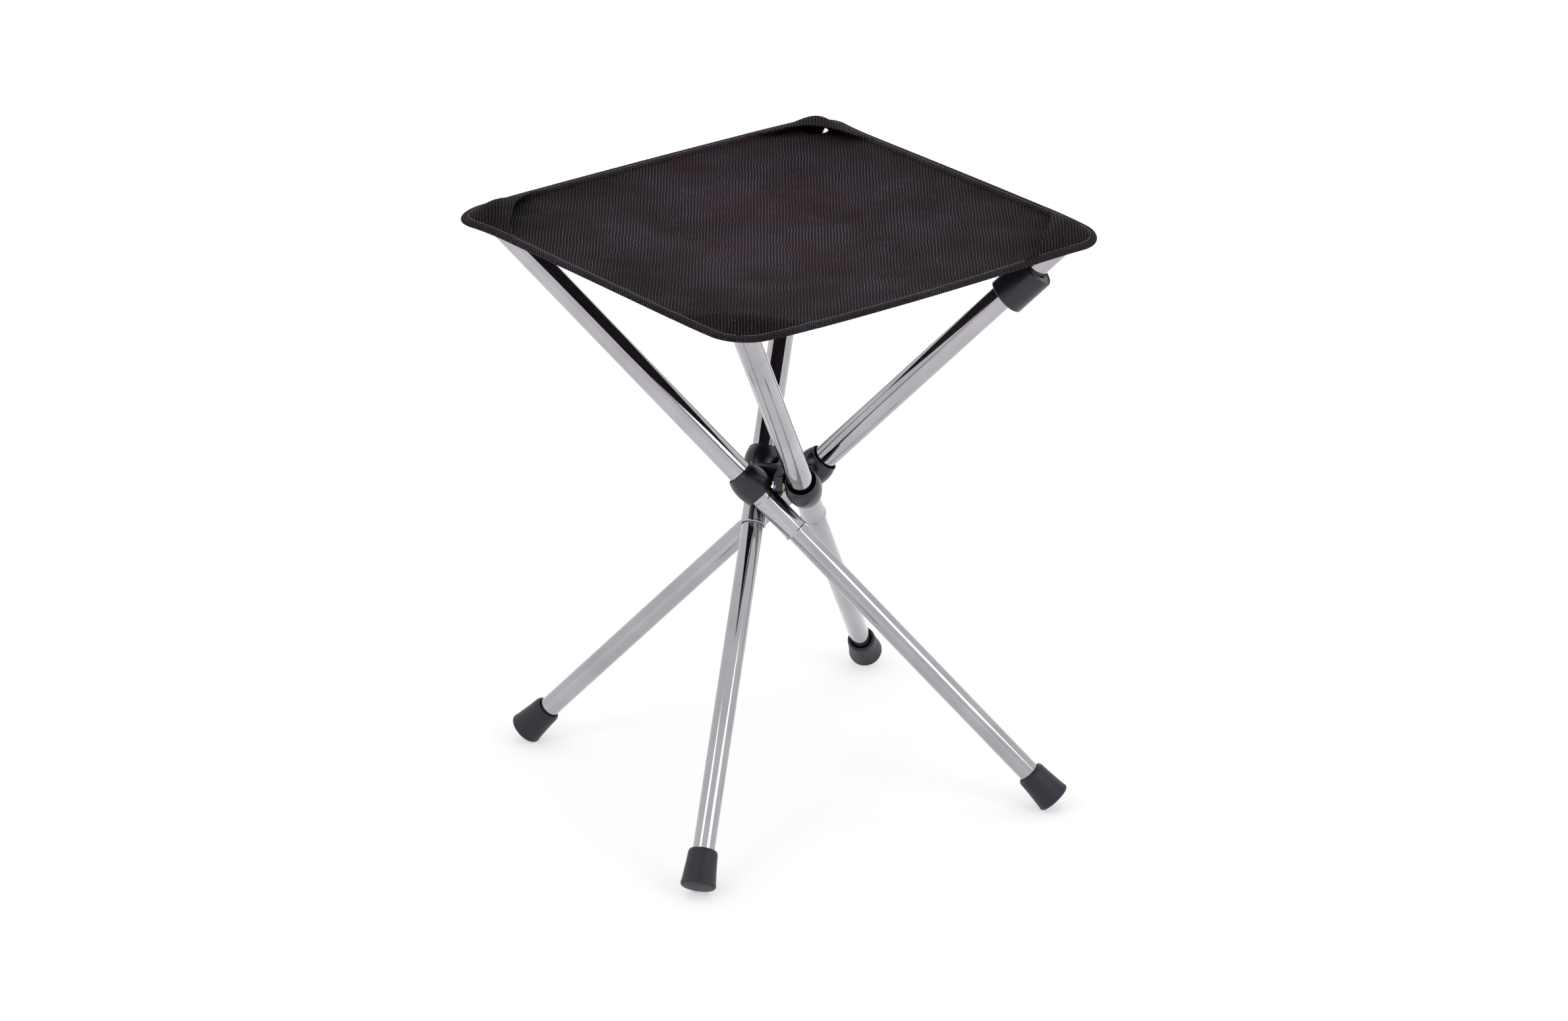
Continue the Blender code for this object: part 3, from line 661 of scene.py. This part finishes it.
def panelPiece(name, planes, corner=None, cells=140):
    # planes: (outward direction, distance, keep the inner side)
    bm = bmesh.new()
    span = seat["half"] - seat["edgeIn"]
    grid = {}
    for i in range(cells + 1):
        for j in range(cells + 1):
            grid[i, j] = bm.verts.new(seatPoint(span * (2 * i / cells - 1), span * (2 * j / cells - 1)))
    for i in range(cells):
        for j in range(cells):
            bm.faces.new((grid[i, j], grid[i + 1, j], grid[i + 1, j + 1], grid[i, j + 1]))
    for outward, reach, keepInner in planes:
        bmesh.ops.bisect_plane(bm, geom=bm.verts[:] + bm.edges[:] + bm.faces[:], dist=0.000001,
                               plane_co=outward * reach, plane_no=outward,
                               clear_outer=keepInner, clear_inner=not keepInner)
    if corner is not None:
        trimCorner(bm, corner)
    half = seat["cloth"] / 2
    top = [vert.co + Vector((0, 0, half)) for vert in bm.verts]
    bottom = [vert.co - Vector((0, 0, half)) for vert in bm.verts]
    bm.verts.index_update()
    count = len(top)
    faces = []
    for face in bm.faces:
        ring = [vert.index for vert in face.verts]
        faces += [ring, [count + n for n in reversed(ring)]]
        for loop in face.loops:
            if loop.edge.is_boundary:
                a, b = loop.vert.index, loop.link_loop_next.vert.index
                faces.append([b, a, count + a, count + b])
    bm.free()
    obj = makePiece(name, top + bottom, faces, cloth)
    normals = []                                 # from the seat's own slope, so that the panels meet unseen
    step = 0.0008
    for number, spot in enumerate(top + bottom):
        flat = Vector((spot.x, spot.y, 0.0))
        slopes = [(seatHeight(flat + way) - seatHeight(flat - way)) / (2 * step)
                  for way in (Vector((step, 0, 0)), Vector((0, step, 0)))]
        up = Vector((-slopes[0], -slopes[1], 1.0)).normalized()
        normals.append(up if number < count else -up)
    perCorner = []
    for face in obj.data.polygons:
        wall = abs(face.normal.z) < 0.5
        for index in face.vertices:
            perCorner.append(face.normal if wall else normals[index])
    obj.data.normals_split_custom_set(perCorner)
    return obj


middle = panelPiece("seatMiddle", [(outward, foldLine, True) for outward in outwards])
cornerPanels = [panelPiece("seatCorner" + legNames[k].title(),
                           [(outwards[k], foldLine, False)], k) for k in range(4)]
print("seat panels made")


# folded tape along the sides, a V for each corner

tapeLook = {"half": 0.0022, "wide": 0.0090, "nose": 0.0026, "stitch": 0.0050}


def tapeSection():
    half, wide = tapeLook["half"], tapeLook["wide"]
    edge = []
    for step in range(11):
        t = math.pi / 2 - math.pi * step / 10
        edge.append((tapeLook["nose"] * (math.cos(t) - 1), half * math.sin(t)))
    inner = seat["cloth"] / 2 - 0.0001
    upper = [(-wide, inner), (-wide + 0.0001, half * 0.70), (-wide + 0.0006, half * 0.92),
             (-wide * 0.6, half)]
    lower = [(x, -z) for x, z in reversed(upper)]
    return upper + edge + lower


def makeTape(k):
    section = tapeSection()
    count = len(section)
    verts, faces = [], []
    first, steps = -seat["half"] + seat["pocket"] + 0.0003, 50
    for mirrored in (False, True):
        base = len(verts)
        for n in range(steps + 1):
            run = first * (1 - n / steps)
            for out, up in section:
                away = -seat["half"] - out
                wave = 0.00010 * math.sin(run * 1700.0 + out * 300.0)
                x, y = (away, run) if mirrored else (run, away)
                verts.append(seatPoint(x, y, up * (1 + 40 * wave) + wave, k))
        for row in range(steps):
            for n in range(count):
                m = (n + 1) % count
                faces.append([base + row * count + n, base + row * count + m,
                              base + (row + 1) * count + m, base + (row + 1) * count + n])
        last = base + steps * count
        faces += [[base + n for n in range(count)], [last + n for n in range(count)]]
    obj = makePiece("edgeTape" + legNames[k].title(), verts, faces, tape, math.radians(50))
    pointOutwards(obj)
    return obj


tapes = [makeTape(k) for k in range(4)]
print("tapes made")


# hoods over the tube ends, sewn in under the tape, open towards the middle with a turned edge

hood = {"inset": 0.0046, "thick": 0.0010, "foldThick": 0.00040, "foldWide": 0.0062, "crownLong": 0.034,
        "bow": 2.2, "rimLong": 0.0688, "rows": 44, "cols": 90,
        "ridge": (-0.0010, 0.0012, 0.0042, 0.0076, 0.0100, 0.0108, 0.0101, 0.0086, 0.0078, 0.0072, 0.0070)}
# for each corner: outline from its tip to the edge's two ends, depth and lift of the edge's middle,
# and how soon it comes down to the hems
hoodShape = [(0.0688, 0.0688, 0.0360, 0.0, 2.2), (0.0780, 0.0610, 0.0355, 0.0012, 1.35),
             (0.0688, 0.0688, 0.0385, 0.0018, 2.4), (0.0688, 0.0688, 0.0370, 0.0010, 1.7)]


def outlineAt(length):
    # depth and half width of the rounded corner, at a length from its tip
    arc = seat["round"] * math.pi / 4
    angle = min(length, arc) / seat["round"]
    rest = max(0.0, length - arc) / math.sqrt(2)
    return (seat["round"] * (1 - math.cos(angle)) + rest, seat["round"] * math.sin(angle) + rest)


def ridgeAt(depth):
    # height of the hood's ridge over the hems, from a table at each 5 mm of depth
    table = hood["ridge"]
    x = min(max(depth / 0.005, 0.0), len(table) - 1.001)
    i = int(x)
    u = x - i
    p0, p1, p2, p3 = table[max(i - 1, 0)], table[i], table[i + 1], table[min(i + 2, len(table) - 1)]
    return 0.5 * (2 * p1 + (p2 - p0) * u + (2 * p0 - 5 * p1 + 4 * p2 - p3) * u * u
                  + (3 * p1 - p0 - 3 * p2 + p3) * u ** 3)


def hoodPoint(t, s, k):
    longLow, longHigh, crownEnd, lift, bellPower = hoodShape[k]
    across = Vector((-outwards[k].y, outwards[k].x, 0.0))
    t, side = max(0.0, t), min(1.0, max(-1.0, 2 * s - 1))
    crown = hood["inset"] + (crownEnd - hood["inset"]) * t
    length = (longHigh if side > 0 else longLow) * t ** 0.85
    hemDeep, hemWide = outlineAt(length)
    angle = min(length / seat["round"], math.pi / 4)
    hemDeep += hood["inset"] * math.cos(angle)
    hemWide -= hood["inset"] * math.sin(angle)
    depth = crown + (hemDeep - crown) * abs(side) ** hood["bow"]
    spot = outwards[k] * (seat["tip"] - depth) + across * (side * hemWide)
    hem = outwards[k] * (seat["tip"] - hemDeep) + across * math.copysign(hemWide, side)
    low = seatHeight(hem, 0.0) + 0.0012
    bell = max(0.0, 1 - side * side) ** bellPower
    crest = seat["height"] + ridgeAt(crown) + lift * t
    fold = bell * t * (0.00035 * math.sin(5.0 * side + 1.7 * k + 2.0 * t)
                       + 0.0005 * noise.noise(Vector((spot.x * 45, spot.y * 45, 9.1 + k))))
    spot.z = low + (crest - low) * bell + fold
    return spot


def makeHood(k):
    rows, cols = hood["rows"], hood["cols"]
    step = 0.004
    shell = []
    for r in range(rows + 1):
        line = []
        for c in range(cols + 1):
            t, s = max(r / rows, 0.01), 0.001 + 0.998 * c / cols
            here = hoodPoint(t, s, k)
            alongT = hoodPoint(t + step, s, k) - hoodPoint(t - step, s, k)
            alongS = hoodPoint(t, s + step, k) - hoodPoint(t, s - step, k)
            normal = alongT.cross(alongS).normalized()
            if normal.z < 0:
                normal.negate()
            line.append((here, normal))
        shell.append(line)
    foldFrom = 1 - hood["foldWide"] / hood["crownLong"]
    rings = []                                   # outer shell, lip, inner shell
    for r in range(rows + 1):
        thick = hood["thick"] + hood["foldThick"] * min(1.0, max(0.0, (r / rows - foldFrom) / 0.03))
        rings.append([here + normal * thick for here, normal in shell[r]])
    back = [(a[0] - b[0]).normalized() for a, b in zip(shell[rows], shell[rows - 1])]
    thick = hood["thick"] + hood["foldThick"]
    for turn in (45, 90, 135):
        swing = math.radians(turn)
        rise, reach = 0.5 + 0.5 * math.cos(swing), math.sin(swing)
        rings.append([here + normal * thick * rise + ahead * thick * 0.5 * reach
                      for (here, normal), ahead in zip(shell[rows], back)])
    for r in range(rows, -1, -1):
        rings.append([here for here, normal in shell[r]])
    verts = [point for ring in rings for point in ring]
    wide = cols + 1
    total = len(rings)
    faces = []
    for r in range(total - 1):
        for c in range(cols):
            n = r * wide + c
            faces.append([n, n + 1, n + wide + 1, n + wide])
    for r in range(rows):                        # close the rim along the seat's edge
        for c in (0, cols):
            faces.append([r * wide + c, (r + 1) * wide + c,
                          (total - 2 - r) * wide + c, (total - 1 - r) * wide + c])
    faces += [[r * wide + c for r in range(rows, rows + 5)] for c in (0, cols)]
    faces += [[c, c + 1, (total - 1) * wide + c + 1, (total - 1) * wide + c] for c in range(cols)]
    obj = makePiece("cornerHood" + legNames[k].title(), verts, faces, cloth, math.radians(60))
    pointOutwards(obj)
    return obj


def rimPath(k, out, up, steps=72):
    # points round the rounded corner, along the seat's edge
    outward = outwards[k]
    across = Vector((-outward.y, outward.x, 0.0))
    path = []
    for n in range(steps + 1):
        length = (hood["rimLong"] + 0.0010) * (2 * n / steps - 1)
        depth, wide = outlineAt(abs(length))
        angle = min(abs(length) / seat["round"], math.pi / 4) * (1 if length >= 0 else -1)
        normal = outward * math.cos(angle) + across * math.sin(angle)
        edge = outward * (seat["tip"] - depth) + across * math.copysign(wide, length)
        spot = edge + normal * out
        path.append((Vector((spot.x, spot.y, seatHeight(edge, 0.0) + up)), normal))
    return path


def makeRim(k):
    # the tape goes on round the corner
    section = tapeSection()
    path = rimPath(k, 0.0, 0.0)
    verts, faces = [], []
    for spot, normal in path:
        verts += [spot + normal * out + Vector((0, 0, up)) for out, up in section]
    count = len(section)
    for row in range(len(path) - 1):
        for n in range(count):
            m = (n + 1) % count
            faces.append([row * count + n, row * count + m, (row + 1) * count + m, (row + 1) * count + n])
    last = (len(path) - 1) * count
    faces += [list(range(count)), [last + n for n in range(count)]]
    obj = makePiece("hoodRim" + legNames[k].title(), verts, faces, tape, math.radians(50))
    pointOutwards(obj)
    return obj


hoods = [makeHood(k) for k in range(4)]
rims = [makeRim(k) for k in range(4)]
print("hoods made")


# stitches by geometry nodes, along paths on the tapes and the rims

stitch = {"spacing": 0.0026, "length": 0.0022, "radius": 0.00030, "proud": 0.00010,
          "vary": (0.88, 1.10), "seed": 7}


def makeStitchTree():
    tree = bpy.data.node_groups.new("stitchRow", "GeometryNodeTree")
    tree.interface.new_socket("Geometry", in_out="INPUT", socket_type="NodeSocketGeometry")
    for name, value in (("Spacing", stitch["spacing"]), ("Stitch Length", stitch["length"]),
                        ("Thread Radius", stitch["radius"])):
        socket = tree.interface.new_socket(name, in_out="INPUT", socket_type="NodeSocketFloat")
        socket.default_value = value
    socket = tree.interface.new_socket("Seed", in_out="INPUT", socket_type="NodeSocketInt")
    socket.default_value = stitch["seed"]
    tree.interface.new_socket("Geometry", in_out="OUTPUT", socket_type="NodeSocketGeometry")
    add, link = tree.nodes.new, tree.links.new
    start, end = add("NodeGroupInput"), add("NodeGroupOutput")
    points = add("GeometryNodeCurveToPoints")
    points.mode = "LENGTH"
    link(start.outputs["Geometry"], points.inputs["Curve"])
    link(start.outputs["Spacing"], points.inputs["Length"])
    ball = add("GeometryNodeMeshUVSphere")
    ball.inputs["Segments"].default_value = 8
    ball.inputs["Rings"].default_value = 6
    ball.inputs["Radius"].default_value = 1.0
    halfLength = add("ShaderNodeMath")
    halfLength.operation = "MULTIPLY"
    halfLength.inputs[1].default_value = 0.5
    link(start.outputs["Stitch Length"], halfLength.inputs[0])
    size = add("ShaderNodeCombineXYZ")
    link(start.outputs["Thread Radius"], size.inputs["X"])
    link(start.outputs["Thread Radius"], size.inputs["Y"])
    link(halfLength.outputs["Value"], size.inputs["Z"])
    vary = add("FunctionNodeRandomValue")
    vary.data_type = "FLOAT"
    vary.inputs[2].default_value, vary.inputs[3].default_value = stitch["vary"]
    link(start.outputs["Seed"], vary.inputs["Seed"])
    scale = add("ShaderNodeVectorMath")
    scale.operation = "SCALE"
    link(size.outputs["Vector"], scale.inputs[0])
    link(vary.outputs[1], scale.inputs["Scale"])
    place = add("GeometryNodeInstanceOnPoints")
    link(points.outputs["Points"], place.inputs["Points"])
    link(ball.outputs["Mesh"], place.inputs["Instance"])
    link(points.outputs["Rotation"], place.inputs["Rotation"])
    link(scale.outputs["Vector"], place.inputs["Scale"])
    real = add("GeometryNodeRealizeInstances")
    smooth = add("GeometryNodeSetShadeSmooth")
    paint = add("GeometryNodeSetMaterial")
    paint.inputs["Material"].default_value = thread
    link(place.outputs["Instances"], real.inputs["Geometry"])
    link(real.outputs["Geometry"], smooth.inputs["Geometry"])
    link(smooth.outputs["Geometry"], paint.inputs["Geometry"])
    link(paint.outputs["Geometry"], end.inputs["Geometry"])
    return tree


stitchTree = makeStitchTree()
stitchSockets = {item.name: item.identifier for item in stitchTree.interface.items_tree
                 if item.in_out == "INPUT"}


def sewAlong(name, paths, seed):
    curve = bpy.data.curves.new(name + "Path", "CURVE")
    curve.dimensions = "3D"
    for path in paths:
        spline = curve.splines.new("POLY")
        spline.points.add(len(path) - 1)
        for point, spot in zip(spline.points, path):
            point.co = (*spot, 1.0)
    source = bpy.data.objects.new(name + "Path", curve)
    bpy.context.scene.collection.objects.link(source)
    modifier = source.modifiers.new("Stitches", "NODES")
    modifier.node_group = stitchTree
    modifier[stitchSockets["Spacing"]] = stitch["spacing"]
    modifier[stitchSockets["Seed"]] = stitch["seed"] + seed
    graph = bpy.context.evaluated_depsgraph_get()
    mesh = bpy.data.meshes.new_from_object(source.evaluated_get(graph))
    bpy.data.objects.remove(source, do_unlink=True)
    obj = bpy.data.objects.new(name, mesh)
    bpy.context.scene.collection.objects.link(obj)
    return obj


def tapeStitchPaths(k):
    paths = []
    first = -seat["half"] + seat["pocket"] + 0.0015
    for mirrored in (False, True):
        path = []
        for n in range(41):
            run = first * (1 - n / 40) - 0.0008
            away = -seat["half"] + tapeLook["stitch"]
            x, y = (away, run) if mirrored else (run, away)
            path.append(seatPoint(x, y, tapeLook["half"] + stitch["proud"], k))
        paths.append(path)
    return paths


def rimStitchPaths(k):
    path = rimPath(k, -tapeLook["stitch"], tapeLook["half"], 90)
    return [[point[0] + Vector((0, 0, stitch["proud"])) for point in path]]


tapeStitches = [sewAlong("tapeStitches" + legNames[k].title(), tapeStitchPaths(k), k) for k in range(4)]
rimStitches = [sewAlong("rimStitches" + legNames[k].title(), rimStitchPaths(k), 10 + k) for k in range(4)]
print("stitches made")

# no two corners are pulled alike: how far each tip is off the square
tipShift = [Vector((0.0, 0.0010, 0.0010)), Vector((-0.0008, 0.0, -0.0020)), Vector((0.0050, 0.0, 0.0010)),
            Vector((-0.0040, 0.0, -0.0022))]
shiftFrom, shiftLong = 0.1900, 0.0483
for k in range(4):
    for piece in (cornerPanels[k], hoods[k], rims[k], rimStitches[k]):
        for vert in piece.data.vertices:
            share = min(1.0, max(0.0, (vert.co.dot(outwards[k]) - shiftFrom) / shiftLong))
            vert.co += tipShift[k] * share ** 3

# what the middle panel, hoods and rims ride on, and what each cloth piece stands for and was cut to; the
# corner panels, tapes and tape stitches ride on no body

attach(middle, "hub")
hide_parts("seat_cloth")
sideNodes = ["front_right", "back_right", "back_left", "front_left"]
for k, name in enumerate(legNames):
    foldWith(cornerPanels[k])
    foldWith(tapes[k])
    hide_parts("edge_binding_" + sideNodes[k])
    foldWith(tapeStitches[k])
    finishPiece(hoods[k], "leg_" + name, ["corner_pocket_" + name])
    finishPiece(rims[k], "leg_" + name, [])
    finishPiece(rimStitches[k], "leg_" + name, [])


# studio: pale floor, soft lamps, white background

studio = {"worldLevel": 0.70, "floorColour": (0.80, 0.80, 0.80, 1), "floorLift": 0.45, "floorRadius": 6.0}
# each lamp: place, size, power
lamps = {"keyLamp": ((-1.6, -2.2, 2.6), 1.0, 8.0), "fillLamp": ((2.6, -1.2, 1.7), 1.2, 11.0),
         "topLamp": ((0.2, 0.6, 3.2), 2.0, 5.0)}
lampAim = Vector((0, 0, 0.25))


def seenRays(tree):
    # rays that see the white background: from the camera, and by way of metal or glass
    path = tree.nodes.new("ShaderNodeLightPath")
    shiny = mathOf(tree, "MAXIMUM", path.outputs["Is Glossy Ray"], path.outputs["Is Transmission Ray"])
    return mathOf(tree, "MAXIMUM", path.outputs["Is Camera Ray"], shiny)


def makeStudio():
    world = bpy.data.worlds.new("studio")
    bpy.context.scene.world = world
    world.use_nodes = True
    tree = world.node_tree
    tree.nodes.clear()
    out = tree.nodes.new("ShaderNodeOutputWorld")
    white = tree.nodes.new("ShaderNodeBackground")
    soft = tree.nodes.new("ShaderNodeBackground")
    soft.inputs["Strength"].default_value = studio["worldLevel"]
    for node in (white, soft):
        node.inputs["Color"].default_value = (1, 1, 1, 1)
    mix = tree.nodes.new("ShaderNodeMixShader")
    tree.links.new(seenRays(tree), mix.inputs["Fac"])
    tree.links.new(soft.outputs["Background"], mix.inputs[1])
    tree.links.new(white.outputs["Background"], mix.inputs[2])
    tree.links.new(mix.outputs["Shader"], out.inputs["Surface"])

    bm = bmesh.new()
    bmesh.ops.create_circle(bm, cap_ends=True, segments=64, radius=studio["floorRadius"])
    mesh = bpy.data.meshes.new("floor")
    bm.to_mesh(mesh)
    bm.free()
    floor = bpy.data.objects.new("floor", mesh)
    bpy.context.scene.collection.objects.link(floor)
    mat, tree, shader = newMaterial("paleFloor")
    shader.inputs["Base Color"].default_value = studio["floorColour"]
    shader.inputs["Roughness"].default_value = 0.9
    shader.inputs["Specular IOR Level"].default_value = 0.1
    shader.inputs["Emission Color"].default_value = (1, 1, 1, 1)
    lift = mathOf(tree, "MULTIPLY", seenRays(tree), studio["floorLift"])
    tree.links.new(lift, shader.inputs["Emission Strength"])
    mesh.materials.append(mat)

    for name, (spot, size, power) in lamps.items():
        data = bpy.data.lights.new(name, "AREA")
        data.size = size
        data.energy = power
        lamp = bpy.data.objects.new(name, data)
        lamp.location = spot
        lamp.rotation_euler = (lampAim - Vector(spot)).to_track_quat("-Z", "Y").to_euler()
        bpy.context.scene.collection.objects.link(lamp)


makeStudio()

# camera at the photograph's angle

view = {"lens": 118.13, "place": (0.7777, -3.5335, 1.7901), "aim": (0.0008, 0.0, 0.2242), "roll": -0.0109}


def makeCamera():
    data = bpy.data.cameras.new("camera")
    data.lens = view["lens"]
    data.sensor_width = 36.0
    data.sensor_fit = "HORIZONTAL"
    data.clip_start = 0.05
    data.clip_end = 50.0
    camera = bpy.data.objects.new("camera", data)
    ahead = (Vector(view["aim"]) - Vector(view["place"])).normalized()
    right = ahead.cross(Vector((0, 0, 1))).normalized()
    up = right.cross(ahead)
    c, s = math.cos(view["roll"]), math.sin(view["roll"])
    right2, up2 = right * c + up * s, up * c - right * s
    camera.matrix_world = Matrix((
        (right2.x, up2.x, -ahead.x, view["place"][0]),
        (right2.y, up2.y, -ahead.y, view["place"][1]),
        (right2.z, up2.z, -ahead.z, view["place"][2]),
        (0, 0, 0, 1)))
    bpy.context.scene.collection.objects.link(camera)
    bpy.context.scene.camera = camera


makeCamera()
bpy.context.scene.view_settings.view_transform = "Standard"
print("studio and camera made")
